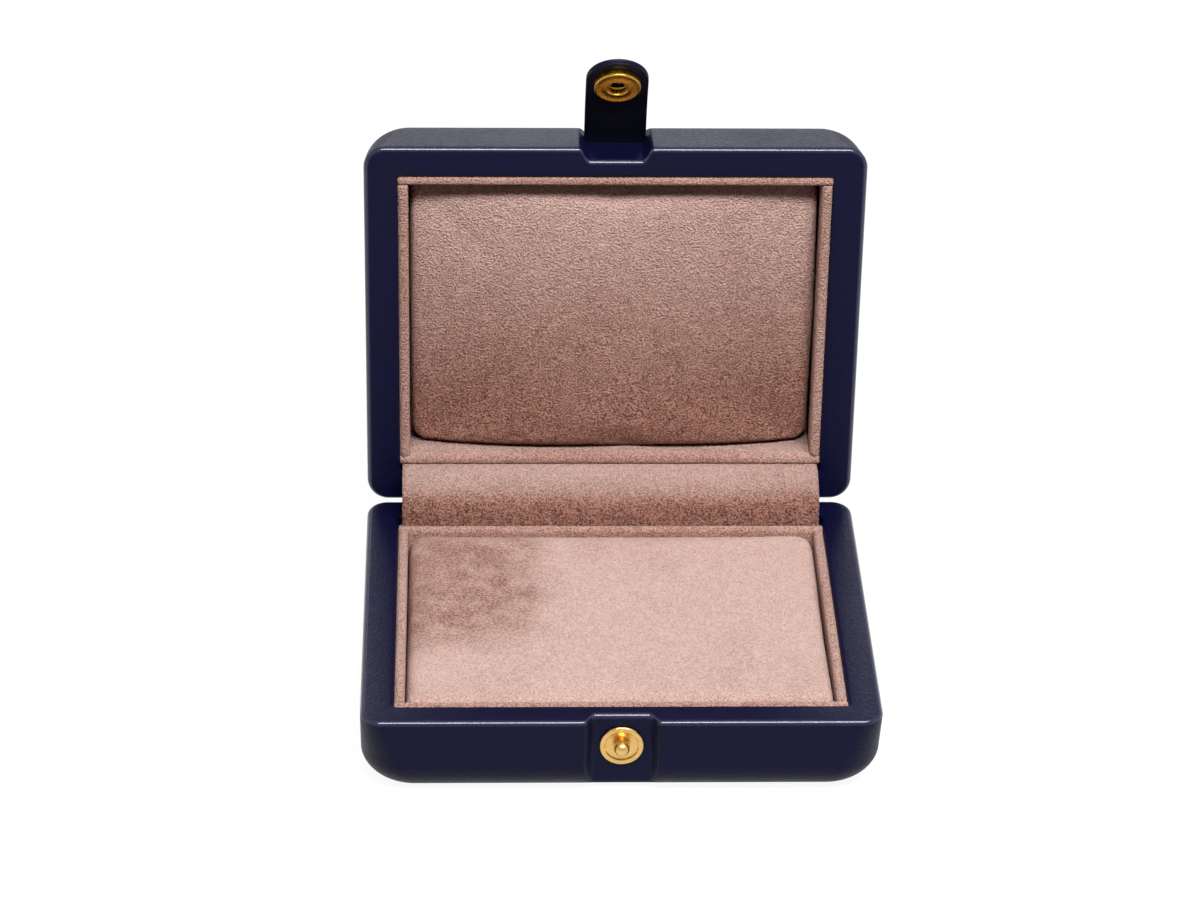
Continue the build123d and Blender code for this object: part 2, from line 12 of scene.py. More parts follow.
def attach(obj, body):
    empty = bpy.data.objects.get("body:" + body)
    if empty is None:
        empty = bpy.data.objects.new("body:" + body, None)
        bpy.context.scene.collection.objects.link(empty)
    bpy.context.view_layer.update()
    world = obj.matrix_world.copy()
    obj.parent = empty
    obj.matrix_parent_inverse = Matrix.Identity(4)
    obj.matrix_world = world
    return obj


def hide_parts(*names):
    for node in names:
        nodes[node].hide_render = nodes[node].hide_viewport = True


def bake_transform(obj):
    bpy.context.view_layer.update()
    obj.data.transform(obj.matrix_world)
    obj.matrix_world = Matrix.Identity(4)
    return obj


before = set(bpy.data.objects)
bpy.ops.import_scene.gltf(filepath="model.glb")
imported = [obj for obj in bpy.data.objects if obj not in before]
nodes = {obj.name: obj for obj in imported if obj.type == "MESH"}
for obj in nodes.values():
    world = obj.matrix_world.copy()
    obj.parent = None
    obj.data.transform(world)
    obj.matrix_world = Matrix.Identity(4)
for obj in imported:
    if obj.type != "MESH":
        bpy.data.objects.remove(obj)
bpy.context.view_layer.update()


# ---------------------------------------------------------------------------------------
# The wooden halves, the card under the suede, the boards and the packing. None of it
# shows once the case is covered. The wood is bare softwood, sawn and routed hollow.

class Value:
    """One output socket of a node, so that shader maths reads as a plain expression."""

    def __init__(self, shading, socket):
        self.shading = shading
        self.socket = socket

    def maths(self, operation, first, second):
        return self.shading.node("ShaderNodeMath", {"operation": operation}, {0: first, 1: second})

    def __add__(self, other):
        return self.maths("ADD", self, other)

    def __sub__(self, other):
        return self.maths("SUBTRACT", self, other)

    def __rsub__(self, other):
        return self.maths("SUBTRACT", other, self)

    def __mul__(self, other):
        return self.maths("MULTIPLY", self, other)

    __radd__ = __add__
    __rmul__ = __mul__


class Shading:
    """A material or a world while it is made: one shader, and the nodes that vary it."""

    def __init__(self, owner, shader_name, **constants):
        self.material = owner
        owner.use_nodes = True
        self.tree = owner.node_tree
        self.shader = self.tree.nodes[shader_name]
        self.set(**constants)

    def node(self, kind, settings, inputs, output=0):
        """Add a node, set its settings first and then its sockets, and give one output."""
        made = self.tree.nodes.new(kind)
        for name, value in settings.items():
            if name == "stops":
                self.set_stops(made.color_ramp, value)
            else:
                setattr(made, name, value)
        for name, value in inputs.items():
            self.feed(made.inputs[name], value)
        return Value(self, made.outputs[output])

    def set_stops(self, ramp, stops):
        while len(ramp.elements) < len(stops):
            ramp.elements.new(0.5)
        for element, (position, colour) in zip(ramp.elements, stops):
            element.position = position
            element.color = (*colour, 1)

    def feed(self, socket, value):
        if isinstance(value, Value):
            self.tree.links.new(value.socket, socket)
        elif isinstance(value, tuple) and len(value) == 3 and socket.type == "RGBA":
            socket.default_value = (*value, 1)
        else:
            socket.default_value = value

    def set(self, **sockets):
        for name, value in sockets.items():
            self.feed(self.shader.inputs[name.replace("_", " ")], value)

    def place(self, scale=(1, 1, 1)):
        """Object coordinates, stretched along each axis."""
        where = self.node("ShaderNodeTexCoord", {}, {}, "Object")
        return self.node("ShaderNodeMapping", {}, {"Vector": where, "Scale": scale})

    def along(self, where, axis):
        """One coordinate of a place."""
        return self.node("ShaderNodeSeparateXYZ", {}, {"Vector": where}, axis)

    def noise(self, where, scale, detail=4.0, roughness=0.55, distortion=0.0):
        """Soft noise from 0 to 1, whose spots are about 1 / scale metres across."""
        inputs = {
            "Vector": where, "Scale": scale, "Detail": detail, "Roughness": roughness,
            "Distortion": distortion,
        }
        return self.node("ShaderNodeTexNoise", {}, inputs)

    def attribute(self, name):
        """A number that the mesh carries at each point."""
        return self.node("ShaderNodeAttribute", {"attribute_name": name}, {}, "Fac")

    def between(self, value, low, high):
        """0 below low, 1 above high, and straight between them."""
        inputs = {"Value": value, "From Min": low, "From Max": high}
        return self.node("ShaderNodeMapRange", {"clamp": True}, inputs)

    def mix(self, factor, first, second):
        """The first colour at 0 and the second at 1."""
        settings = {"data_type": "RGBA", "clamp_factor": True}
        return self.node("ShaderNodeMix", settings, {0: factor, 6: first, 7: second}, 2)

    def bump(self, height, distance):
        """A normal tipped by a height from 0 to 1, which stands for a distance in metres."""
        return self.node("ShaderNodeBump", {}, {"Height": height, "Distance": distance})


def surface(name, **constants):
    """A new material, with the sockets that are the same all over it."""
    return Shading(bpy.data.materials.new(name), "Principled BSDF", **constants)


def linear(red, green, blue):
    """Linear colour from a 0 to 255 screen colour."""
    screen = np.array([red, green, blue]) / 255
    curved = ((screen + 0.055) / 1.055) ** 2.4
    return tuple(np.where(screen > 0.04045, curved, screen / 12.92).tolist())


def give(material, *names):
    """Put a material on nodes that are carried over from the solid model."""
    for name in names:
        mesh_object = nodes[name]
        mesh_object.data.materials.clear()
        mesh_object.data.materials.append(material)


softwood = surface("softwood", Roughness=0.7)
grain = softwood.noise(softwood.place((6, 60, 60)), 14.0)
softwood.set(Base_Color=softwood.mix(grain, linear(150, 112, 70), linear(205, 168, 118)))
softwood.set(Normal=softwood.bump(grain, 0.0002))

plain_card = surface("plain_card", Roughness=0.85)
fibre = plain_card.noise(plain_card.place(), 900.0)
plain_card.set(Base_Color=plain_card.mix(fibre, linear(150, 135, 112), linear(196, 182, 156)))
plain_card.set(Normal=plain_card.bump(fibre, 0.00004))

give(softwood.material, "base_carcass", "lid_carcass")
for half_name in ("base", "lid"):
    for side_name in ("front", "back", "left", "right"):
        give(plain_card.material, f"{half_name}_liner_{side_name}_card")
    give(plain_card.material, f"{half_name}_hinge_packing", f"{half_name}_pad_board")
give(plain_card.material, "tab_stiffener")


# ---------------------------------------------------------------------------------------
# The hinge. A slim brass butt hinge between the rear rims, with round knuckles on one
# pin and headless nails through the leaves. The suede strip and the spine hide it.

dull_brass = surface("dull_brass", Metallic=1.0)
tarnish = dull_brass.noise(dull_brass.place(), 260.0)
dull_brass.set(Base_Color=dull_brass.mix(tarnish, linear(150, 112, 58), linear(206, 168, 98)))
dull_brass.set(Roughness=dull_brass.between(tarnish, 0.2, 1.9))
give(dull_brass.material, "hinge_base_leaf", "hinge_lid_leaf", "hinge_pin")
give(dull_brass.material, "base_hinge_nails", "lid_hinge_nails", "stud_rivet")


# ---------------------------------------------------------------------------------------
# The leather of the two halves. One skin of fine-grained navy leather goes from inside
# the rim, over it, down the wall and round the rolled outer edge. It is pasted to the
# wood, and pulled into the channel at the front with soft, rolled edges.

case_width = 120.0
case_depth = 96.0
base_height = 21.0
lid_height = 17.0
lid_rim_height = 21.2
hinge_y = case_depth / 2
hinge_z = 21.1
open_angle = 92.0
leather_thickness = 0.7

navy = surface("navy_leather", IOR=1.45, Specular_IOR_Level=0.18, Coat_Roughness=0.16)
leather_place = navy.place()
pores = navy.node(
    "ShaderNodeTexVoronoi", {"feature": "SMOOTH_F1"},
    {"Vector": leather_place, "Scale": 1500.0, "Smoothness": 0.5, "Randomness": 1.0},
)
creases = navy.noise(leather_place, 900.0, 4.0, 0.6, 0.6)
puckers = navy.noise(leather_place, 130.0, 3.0)
cloud = navy.noise(leather_place, 45.0, 3.0)
# The rolled outer rim edge is painted a lighter blue, a painted highlight, and given more coat, a
# real gloss.
rubbed = navy.attribute("rubbed")
plain_navy = navy.mix(cloud, linear(4, 5, 34), linear(9, 10, 48))
navy.set(Base_Color=navy.mix(rubbed * 0.5, plain_navy, linear(26, 28, 70)))
navy.set(Roughness=navy.between(cloud * 0.3 + creases * 0.4, -0.5, 1.3))
navy.set(Coat_Weight=navy.between(rubbed * 0.9 + creases * 0.4, 0.35, 0.95))
grained = pores * 0.5 + creases * 0.6 + puckers * 1.2
navy.set(Normal=navy.bump(grained, 0.00011))


def soft_step(value, start, end):
    """0 before start and 1 after end, on half a cosine wave between them."""
    turn = np.clip((value - start) / (end - start), 0, 1)
    return 0.5 - 0.5 * np.cos(np.pi * turn)


def soft_max(first, second, softness):
    """The larger of two values, rounded over where they cross."""
    return 0.5 * (first + second + np.sqrt((first - second) ** 2 + softness**2))


channel_x = np.linspace(-11.0, 11.0, 67)
channel_floor_half = 6.2
channel_mouth_half = 9.6


def outline(half_width, front, back, front_radius, back_radius, channel=None):
    """Closed path, anticlockwise from the front left corner: four straight sides and four arcs.

    Each side and arc always has the same number of points, so that paths of different
    sizes join point to point. The front bends inwards to follow a channel, if given.
    """
    quarter = np.linspace(0, np.pi / 2, 15)[1:-1]

    def arc(centre_x, centre_y, radius, start):
        angle = start + quarter
        return np.c_[centre_x + radius * np.cos(angle), centre_y + radius * np.sin(angle)]

    def run(start, end, count):
        steps = np.linspace(0, 1, count)[:, None]
        return np.array(start) * (1 - steps) + np.array(end) * steps

    inner_front = half_width - front_radius
    inner_back = half_width - back_radius
    if inner_front > channel_x[-1]:
        left = np.linspace(-inner_front, channel_x[0], 26)[:-1]
        front_x = np.r_[left, channel_x, -left[::-1]]
    else:
        front_x = np.linspace(-inner_front, inner_front, 3)
    front_y = np.full_like(front_x, front)
    if channel is not None:
        front_y = soft_max(front_y, channel(front_x), 0.45)
    return np.concatenate([
        np.c_[front_x, front_y],
        arc(inner_front, front + front_radius, front_radius, -np.pi / 2),
        run((half_width, front + front_radius), (half_width, back - back_radius), 48),
        arc(inner_back, back - back_radius, back_radius, 0),
        run((inner_back, back), (-inner_back, back), 60),
        arc(-inner_back, back - back_radius, back_radius, np.pi / 2),
        run((-half_width, back - back_radius), (-half_width, front + front_radius), 48),
        arc(-inner_front, front + front_radius, front_radius, np.pi),
    ])


def rings(paths, heights):
    """Rows of points: each closed path at its own height, or at a height for each point."""
    rows = [
        np.c_[path, np.broadcast_to(height, len(path))] for path, height in zip(paths, heights)
    ]
    return np.stack(rows)


def add_faces(name, points, quads, caps, material):
    """Piece from points in millimetres, four-sided faces, and any larger faces that close it.

    The faces are turned over if, on the whole, they look inwards.
    """
    flat = points / 1000
    corners = flat[quads]
    normals = np.cross(corners[:, 2] - corners[:, 0], corners[:, 3] - corners[:, 1])
    inwards = np.sum(normals * (corners.mean(axis=1) - flat.mean(axis=0))) < 0
    faces = quads.tolist() + caps
    if inwards:
        faces = [face[::-1] for face in faces]
    mesh = bpy.data.meshes.new(name)
    mesh.from_pydata(flat.tolist(), [], faces)
    mesh.polygons.foreach_set("use_smooth", np.ones(len(faces), dtype=bool))
    mesh.materials.append(material)
    piece = bpy.data.objects.new(name, mesh)
    bpy.context.scene.collection.objects.link(piece)
    return piece


def add_mesh(name, points, material, cap_first=False, cap_last=False, closed=True, rubbed=None):
    """Piece whose faces join neighbouring points of a grid of rows, in millimetres.

    A closed row joins its last point to its first. A cap is one flat face over a row. A
    row can carry a number from 0 to 1 for how much its finish is rubbed to a gloss and
    painted lighter, which is a painted highlight.
    """
    rows, columns = points.shape[:2]
    index = np.arange(rows * columns).reshape(rows, columns)
    after = np.roll(index, -1, axis=1)
    caps = []
    if cap_first:
        caps.append(index[0, ::-1].tolist())
    if cap_last:
        caps.append(index[-1].tolist())
    if not closed:
        index, after = index[:, :-1], after[:, :-1]
    quads = np.stack([index[:-1], after[:-1], after[1:], index[1:]], axis=-1).reshape(-1, 4)
    piece = add_faces(name, points.reshape(-1, 3), quads, caps, material)
    if rubbed is not None:
        rub_and_highlight_layer = piece.data.attributes.new("rubbed", "FLOAT", "POINT")
        rub_and_highlight_layer.data.foreach_set("value", np.repeat(rubbed, columns).astype(np.float32))
    return piece


def turn(points, centre_y, centre_z, degrees):
    """Points turned about a line along X, from Y towards Z."""
    angle = np.radians(degrees)
    y = points[..., 1] - centre_y
    z = points[..., 2] - centre_z
    return np.stack([
        points[..., 0],
        centre_y + y * np.cos(angle) - z * np.sin(angle),
        centre_z + y * np.sin(angle) + z * np.cos(angle),
    ], axis=-1)


def to_base(points):
    """From a half's own frame to the base: turned over, rim up."""
    return points * np.array([1, 1, -1]) + np.array([0, 0, base_height])


def to_lid(points):
    """From a half's own frame to the open lid."""
    shut = points + np.array([0, 0, lid_rim_height])
    return turn(shut, hinge_y, hinge_z, -open_angle)


def leather_skin(height, edge_radius, rim_side, rim_front, rim_back, channel_depth):
    """Skin of one half, in rows that run from inside the cavity out to the outer face.

    Inner wall, quarter-round inner rim edge, flat rim, quarter-round outer rim edge, wall,
    quarter-round outer edge, flat outer face. The corners' radius grows on a straight line
    from the rim to the outer face. The rim sinks between its edges by half a sine wave.
    """
    turn_in = 5.0
    inner_corner = 0.8
    inner_roll = 1.0
    outer_roll = 1.25
    rim_corner, corner_growth = 5, 8
    rim_crown = 0.06
    half_width = case_width / 2
    half_depth = case_depth / 2

    def inner_path(out):
        radius = inner_corner + out
        return outline(
            half_width - rim_side + out, -half_depth + rim_front - out,
            half_depth - rim_back + out, radius, radius,
        )

    def outer_path(inset, z, channel_inset):
        radius = max(rim_corner + corner_growth * z / height - inset, 0.6)

        def channel(x):
            wall = soft_step(np.abs(x), channel_mouth_half, channel_floor_half)
            return -half_depth + channel_inset - 1 + (1 + channel_depth) * wall

        return outline(
            half_width - inset, -half_depth + inset, half_depth - inset, radius, radius, channel
        )

    paths = []
    heights = []
    for z in np.linspace(turn_in, inner_roll, 4)[:-1]:
        paths.append(inner_path(0))
        heights.append(z)
    for angle in np.linspace(0, np.pi / 2, 6):
        paths.append(inner_path(inner_roll * (1 - np.cos(angle))))
        heights.append(inner_roll * (1 - np.sin(angle)))
    rim_inner = paths[-1]
    rim_outer = outer_path(outer_roll, 0, outer_roll)
    for share in np.linspace(0, 1, 6)[1:-1]:
        paths.append(rim_inner * (1 - share) + rim_outer * share)
        heights.append(-rim_crown * np.sin(np.pi * share))
    first_roll = len(paths)
    for angle in np.linspace(0, np.pi / 2, 10):
        inset = outer_roll * (1 - np.sin(angle))
        z = outer_roll * (1 - np.cos(angle))
        paths.append(outer_path(inset, z, inset))
        heights.append(z)
    for z in np.linspace(outer_roll, height - edge_radius, 12)[1:-1]:
        paths.append(outer_path(0, z, 0))
        heights.append(z)
    for angle in np.linspace(0, np.pi / 2, 16):
        inset = edge_radius * (1 - np.cos(angle))
        z = height - edge_radius * (1 - np.sin(angle))
        paths.append(outer_path(inset, z, 0))
        heights.append(z)
    face = paths[-1]
    for share in (0.8, 0.5, 0.2, 0.03):
        paths.append(face * share)
        heights.append(height)
    # Each row's share of the painted highlight and the gloss: half a sine wave over the outer rim
    # roll.
    rubbed = np.zeros(len(paths))
    rubbed[first_roll:first_roll + 10] = np.sin(np.linspace(0, np.pi, 10))
    return rings(paths, heights), rubbed


def leather_half(half_name, to_half, **sizes):
    """The skin of one half as a piece, thickened inwards from its outer side."""
    points, rubbed = leather_skin(**sizes)
    name = f"{half_name}_leather_skin"
    skin = add_mesh(name, to_half(points), navy.material, cap_last=True, rubbed=rubbed)
    wall = skin.modifiers.new("thickness", "SOLIDIFY")
    wall.thickness = leather_thickness / 1000
    wall.offset = -1
    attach(skin, half_name)
    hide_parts(f"{half_name}_leather")


leather_half(
    "base", to_base, height=base_height, edge_radius=8.5,
    rim_side=7.8, rim_front=7.0, rim_back=7.4, channel_depth=3.0,
)
leather_half(
    "lid", to_lid, height=lid_height, edge_radius=7.0,
    rim_side=8.1, rim_front=7.8, rim_back=8.1, channel_depth=3.3,
)
give(navy.material, "base_bottom_panel", "tab_anchor")


# ---------------------------------------------------------------------------------------
# The suede linings of the walls. Strips of card wrapped in dusty pink suede stand round
# the inside of each half, glued to the wood, with a soft rounded lip just below the rim.

def suede(name, pile_and_shade, relief=1.0):
    """Suede whose pile is laid flat and pale, or raised and darker, as the given function says; on
    the lid pad and the strip that darker colour is painted shade.

    Its tufts are worm-like noise with finer hair and wider ruffles, and only the worms and
    ruffles stand out from it.
    """
    made = surface(name, Roughness=0.95, Specular_IOR_Level=0.1, Sheen_Weight=0.35)
    made.set(Sheen_Roughness=0.5, Sheen_Tint=(*linear(255, 240, 235), 1))
    place = made.place()
    brushed = made.noise(place, 32.0, 3.0, 0.55)
    worms = made.noise(place, 2250.0, 2.0, 0.5, 0.1)
    hair = made.noise(place, 4200.0, 2.0, 0.6)
    ruffles = made.noise(place, 420.0, 3.0, 0.6)
    tufts = worms * 0.65 + hair * 0.2 + ruffles * 0.15
    raised_and_shaded = pile_and_shade(made, place, brushed)
    laid_pile = made.mix(
        made.between(tufts, 0.38, 0.6), linear(202, 158, 146), linear(238, 203, 192),
    )
    # The darker, redder colour: raised pile, and painted shade where the given function follows
    # height.
    raised_and_shaded_pile = made.mix(
        made.between(tufts, 0.4, 0.58), linear(98, 50, 36), linear(203, 147, 127),
    )
    made.set(Base_Color=made.mix(raised_and_shaded, laid_pile, raised_and_shaded_pile))
    made.set(Normal=made.bump(worms + ruffles * 0.3, 0.0014 * relief))
    return made.material


lining_suede = suede("lining_suede", lambda made, place, brushed: brushed * 0.8 + 0.2, 0.7)

suede_thickness = 2.4
lip_radius = 1.05
pad_gap = 0.15


def carried(along, sections):
    """Grid of points: a closed section in Y and Z, or one for each place, carried along X."""
    sections = np.broadcast_to(sections, (len(along), *sections.shape[-2:]))
    across = np.broadcast_to(along[:, None, None], (*sections.shape[:2], 1))
    return np.concatenate([across, sections], axis=-1)


def lining(name, length, depth, place, half_name):
    """Strip along X: a flat back at y = 0, a half-round lip just below the rim, a flat face.

    Its section is a closed path, carried along X, and drawn in at both ends.
    """
    lip_depth = 0.3
    end_draw = 0.9
    angle = np.linspace(0, np.pi / 2, 9)
    section = np.concatenate([
        [[0.0, depth], [0.0, lip_depth + 1.2]],
        np.c_[lip_radius * (1 - np.cos(angle)), lip_depth + lip_radius * (1 - np.sin(angle))],
        np.c_[
            suede_thickness - lip_radius * (1 - np.sin(angle)),
            lip_depth + lip_radius * (1 - np.cos(angle)),
        ],
        [[suede_thickness, lip_depth + 3], [suede_thickness, depth]],
    ])
    middle = section.mean(axis=0)
    along = np.r_[-0.5, np.linspace(-0.497, 0.497, 60), 0.5] * length
    draw = np.ones(len(along))
    draw[[0, -1]] = end_draw
    sections = middle + (section - middle)[None] * draw[:, None, None]
    points = place(carried(along, sections))
    strip = add_mesh(f"{name}_suede", points, lining_suede, cap_first=True, cap_last=True)
    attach(strip, half_name)
    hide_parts(name)


def quarter_turns(points, turns):
    """Points turned about Z by whole quarter turns."""
    for _ in range(turns):
        points = np.stack([-points[..., 1], points[..., 0], points[..., 2]], axis=-1)
    return points


def line_half(half_name, to_half, side, front, back, depth):
    """The four linings of one half, each turned to stand against its wall."""
    between = back - front - 2 * suede_thickness
    middle = (front + back) / 2
    places = {
        "front": (2 * side, 0, (0, front)),
        "right": (between, 1, (side, middle)),
        "back": (2 * side, 2, (0, back)),
        "left": (between, 3, (-side, middle)),
    }
    for side_name, (length, turns, (x, y)) in places.items():
        def place(points, turns=turns, x=x, y=y):
            return to_half(quarter_turns(points, turns) + np.array([x, y, 0]))
        lining(f"{half_name}_liner_{side_name}", length, depth, place, half_name)


base_front, base_back, base_side, base_cavity = -41.0, 37.15, 52.2, 17.0
lid_front, lid_back, lid_side, lid_cavity = -40.2, 38.3, 51.9, 13.5
line_half("base", to_base, base_side, base_front, base_back, base_cavity)
line_half("lid", to_lid, lid_side, lid_front, lid_back, lid_cavity)


# ---------------------------------------------------------------------------------------
# The two pads. Foam on a board, covered in the same suede and pushed in between the
# linings. The base pad is nearly flat, and the lid pad swells towards the stone.

def shape_now(piece):
    """Points in metres, and four-sided faces, of a piece with its modifiers as they stand."""
    seen = piece.evaluated_get(bpy.context.evaluated_depsgraph_get()).data
    points = np.empty(len(seen.vertices) * 3)
    seen.vertices.foreach_get("co", points)
    corners = np.empty(len(seen.loops), dtype=np.int32)
    seen.loops.foreach_get("vertex_index", corners)
    return points.reshape(-1, 3), corners.reshape(-1, 4)


def swell(name, points, cover, most):
    """Blow a closed grid of rows up as cloth, over its flat underside, which is held.

    The grid is first made of even faces. A point that the pressure would move by m moves
    most * tanh(m / most), in the same direction. Gives points in millimetres, and faces.
    """
    face_size = 1.5
    held_height = 0.8
    start = add_mesh(f"{name}_start", points, cover, cap_first=True, cap_last=True)
    even = start.modifiers.new("even_faces", "REMESH")
    even.mode = "VOXEL"
    even.voxel_size = face_size / 1000
    before, quads = shape_now(start)
    bpy.data.objects.remove(start)

    cushion = add_faces(f"{name}_cloth", before * 1000, quads, [], cover)
    underside = np.flatnonzero(before[:, 2] > before[:, 2].max() - held_height / 1000)
    held = cushion.vertex_groups.new(name="held")
    held.add(underside.tolist(), 1.0, "REPLACE")
    cloth = cushion.modifiers.new("cloth", "CLOTH")
    cloth.settings.vertex_group_mass = "held"
    cloth.settings.use_pressure = True
    cloth.settings.uniform_pressure_force = 4.0
    cloth.settings.effector_weights.gravity = 0.0
    for frame_number in range(1, 21):
        bpy.context.scene.frame_set(frame_number)
    after, quads = shape_now(cushion)
    bpy.data.objects.remove(cushion)
    bpy.context.scene.frame_set(1)

    move = (after - before) * 1000
    length = np.linalg.norm(move, axis=1, keepdims=True) + 1e-9
    return before * 1000 + move * most * np.tanh(length / most) / length, quads


def pad(half_name, to_half, cover, rise, pocket, corners, roll, most, least_depth):
    """Closed cushion: flat underside, upright sides, rolled edge, and a crowned top.

    rise gives the top's height over the cavity's floor at each point of the plan. The
    rolled edge is a quarter of an ellipse, and the sides pull in between the corners. The
    form is then swollen, and kept inside its pocket and least_depth below the rim.
    """
    side, front, back, cavity = pocket
    name = f"{half_name}_pad"
    inner = suede_thickness + pad_gap
    half_width = side - inner
    front = front + inner
    back = back - inner
    middle = np.array([0, (front + back) / 2])
    reach = np.array([half_width, (back - front) / 2])
    front_corner, back_corner = corners

    def path(inset):
        plan = outline(
            half_width - 0.15 - inset, front + 0.1 + inset, back - 0.1 - inset,
            max(front_corner - inset, 0.3), max(back_corner - inset, 0.3),
        )
        from_middle = plan - middle
        share = (from_middle / reach)[:, ::-1]
        return middle + from_middle * (1 - 0.004 * (1 - share**2))

    rim = path(0)
    edge_height = rise(*path(roll).T)
    paths = [middle + (rim - middle) * share for share in (0.03, 0.5, 0.99)] + [rim]
    heights = [np.zeros(len(rim))] * 3 + [np.full(len(rim), 0.4)]
    for share in (0.3, 0.7):
        paths.append(rim)
        heights.append((edge_height - roll) * share)
    for angle in np.linspace(0, np.pi / 2, 10):
        paths.append(path(roll * (1 - np.cos(angle))))
        heights.append(edge_height - roll * (1 - np.sin(angle)))
    top = paths[-1]
    for share in np.linspace(1, 0.02, 44)[1:]:
        inner_path = middle + (top - middle) * share
        paths.append(inner_path)
        heights.append(rise(*inner_path.T))
    grid = rings(paths, [cavity - height for height in heights])
    points, quads = swell(name, grid, cover, most)
    points = np.clip(points, (-half_width, front, least_depth), (half_width, back, cavity))
    cushion = add_faces(f"{name}_cushion", to_half(points), quads, [], cover)
    finer = cushion.modifiers.new("finer", "SUBSURF")
    finer.levels = finer.render_levels = 1
    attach(cushion, half_name)
    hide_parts(f"{name}_cover", f"{name}_foam")


def base_rise(x, y):
    """Top of the base pad before it swells: nearly flat, with a dent near its middle.

    A shallow paraboloid, with low crossed sine waves, less one bell-shaped dent.
    """
    dent = np.exp(-(((x + 0.5) / 2.2) ** 2 + ((y + 3.0) / 4.0) ** 2))
    waves = 0.06 * np.sin(x / 13 + 1) * np.sin(y / 11)
    return base_cavity - 0.75 - 0.00004 * (x**2 + (y + 2) ** 2) + waves - 0.5 * dent


def lid_rise(x, y):
    """Top of the lid pad before it swells: highest at its crown, lower outwards.

    The fall is a power of the distance from the crown, and is greatest to the back. Low
    crossed sine waves lie over it.
    """
    crown_y = -4.0
    crown_depth = 2.9
    to_front = np.clip((crown_y - y) / 33.5, 0, 1) ** 2.4
    to_back = np.clip((y - crown_y) / 39.7, 0, 1) ** 3.0
    to_side = (np.abs(x) / 49.3) ** 3
    waves = 0.2 * np.sin(x / 13 + 0.6) * np.sin(y / 10 + 1.1) * (1 - to_back)
    fall = 2.4 * to_front + (4.6 * to_side - 0.6) * to_back + 1.5 * to_side
    return lid_cavity - crown_depth - fall + waves


def base_pile(made, place, brushed):
    """The base pad's pile is brushed up in a soft patch at the left, and a little elsewhere."""
    x, y = made.along(place, "X"), made.along(place, "Y")
    ruffled = made.noise(place, 210.0, 3.0, 0.6)
    left = made.between(x + (brushed - 0.5) * 0.07, -0.014, -0.034)
    behind = made.between(y + (brushed - 0.5) * 0.05, -0.022, -0.008)
    patch = left * behind * (made.between(ruffled, 0.3, 0.65) * 0.6 + 0.4)
    return patch * 1.2 + made.between(brushed, 0.52, 0.75) * 0.3


def lid_pile_and_painted_shade(made, place, brushed):
    """The lid pad is painted paler towards its top and darker and redder low down: painted light
    above, and painted shade below where the pad's crown turns away from the light.
    """
    z = made.along(place, "Z")
    return made.between(z + (brushed - 0.5) * 0.03, 0.104, 0.045) * 0.92 + 0.08


base_suede = suede("base_pad_suede", base_pile, 0.7)
lid_suede = suede("lid_pad_suede", lid_pile_and_painted_shade)
pad(
    "base", to_base, base_suede, base_rise, (base_side, base_front, base_back, base_cavity),
    corners=(1.5, 5.5), roll=1.2, most=0.45, least_depth=0.3,
)
pad(
    "lid", to_lid, lid_suede, lid_rise, (lid_side, lid_front, lid_back, lid_cavity),
    corners=(4.0, 4.0), roll=3.2, most=2.3, least_depth=0.5,
)


# ---------------------------------------------------------------------------------------
# The suede strip over the hinge, inside. It comes up behind the base's back lining, turns
# over the hinge in a soft quarter round, and goes in under the lid's lining.

strip_half_width = 51.3
strip_thickness = 0.8
strip_bend = 10.0
strip_bulge = 1.1
strip_forward = 10.85
strip_front = hinge_y - strip_forward
lean = np.radians(open_angle - 90)
strip_corner = hinge_z + (9.7 + strip_forward * np.sin(lean)) / np.cos(lean)


def bent_section(radius, tail, sweep, steps):
    """Path in the YZ plane: straight up, round an arc, then straight back, to unit normals."""
    angle = np.linspace(0, sweep, steps)
    arc = np.c_[radius * (1 - np.cos(angle)), radius * np.sin(angle)]
    start = np.array([[0, -tail], [0, -tail / 2]])
    direction = np.array([np.sin(sweep), np.cos(sweep)])
    end = arc[-1] + direction * np.array([[tail / 2], [tail]])
    points = np.concatenate([start, arc, end])
    turned = np.r_[0, 0, angle, sweep, sweep]
    return points, np.c_[np.cos(turned), -np.sin(turned)]


bend_points, bend_normals = bent_section(strip_bend, 9.0, np.radians(open_angle), 26)
rise_to_corner = strip_bend * np.tan(np.radians(open_angle) / 2)
bend_points = bend_points + np.array([strip_front, strip_corner - rise_to_corner])
bulge_share = np.clip(np.arange(len(bend_points)) - 2, 0, 19) / 19
bulge = strip_bulge * np.sin(np.pi * bulge_share) ** 2
bend_points = bend_points - bulge[:, None] * bend_normals
strip_back = bend_points + strip_thickness * bend_normals
strip_section = np.concatenate([bend_points, strip_back[::-1]])
strip_points = carried(np.linspace(-strip_half_width, strip_half_width, 90), strip_section)


def strip_painted_shade(made, place, brushed):
    """The strip is painted darker and redder low down, where it bends down to the base: painted
    shade.
    """
    return made.between(made.along(place, "Z") + brushed * 0.004, 0.0355, 0.0275) * 1.1


strip_suede = suede("strip_suede", strip_painted_shade)
hinge_suede = add_mesh("hinge_suede", strip_points, strip_suede, cap_first=True, cap_last=True)
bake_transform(hinge_suede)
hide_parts("hinge_strip")


# ---------------------------------------------------------------------------------------
# The snap's stud. Turned from gilt brass: a rolled ring with a fine groove, a dish, and
# a ball on a short neck, riveted through the leather of the channel.

def gilt(name, deep, bright):
    """Gilt brass, turned and lightly polished, between two colours."""
    made = surface(name, Metallic=1.0)
    spin = made.noise(made.place(), 900.0, 3.0)
    made.set(Base_Color=made.mix(spin, deep, bright))
    made.set(Roughness=made.between(spin, -0.4, 2.6))
    made.set(Normal=made.bump(spin, 0.000005))
    return made.material


pale_gilt = gilt("pale_gilt", linear(206, 164, 88), linear(236, 200, 132))
deep_gilt = gilt("deep_gilt", linear(176, 134, 40), linear(206, 164, 64))

stud_depth = 8.2
channel_floor = -45.0


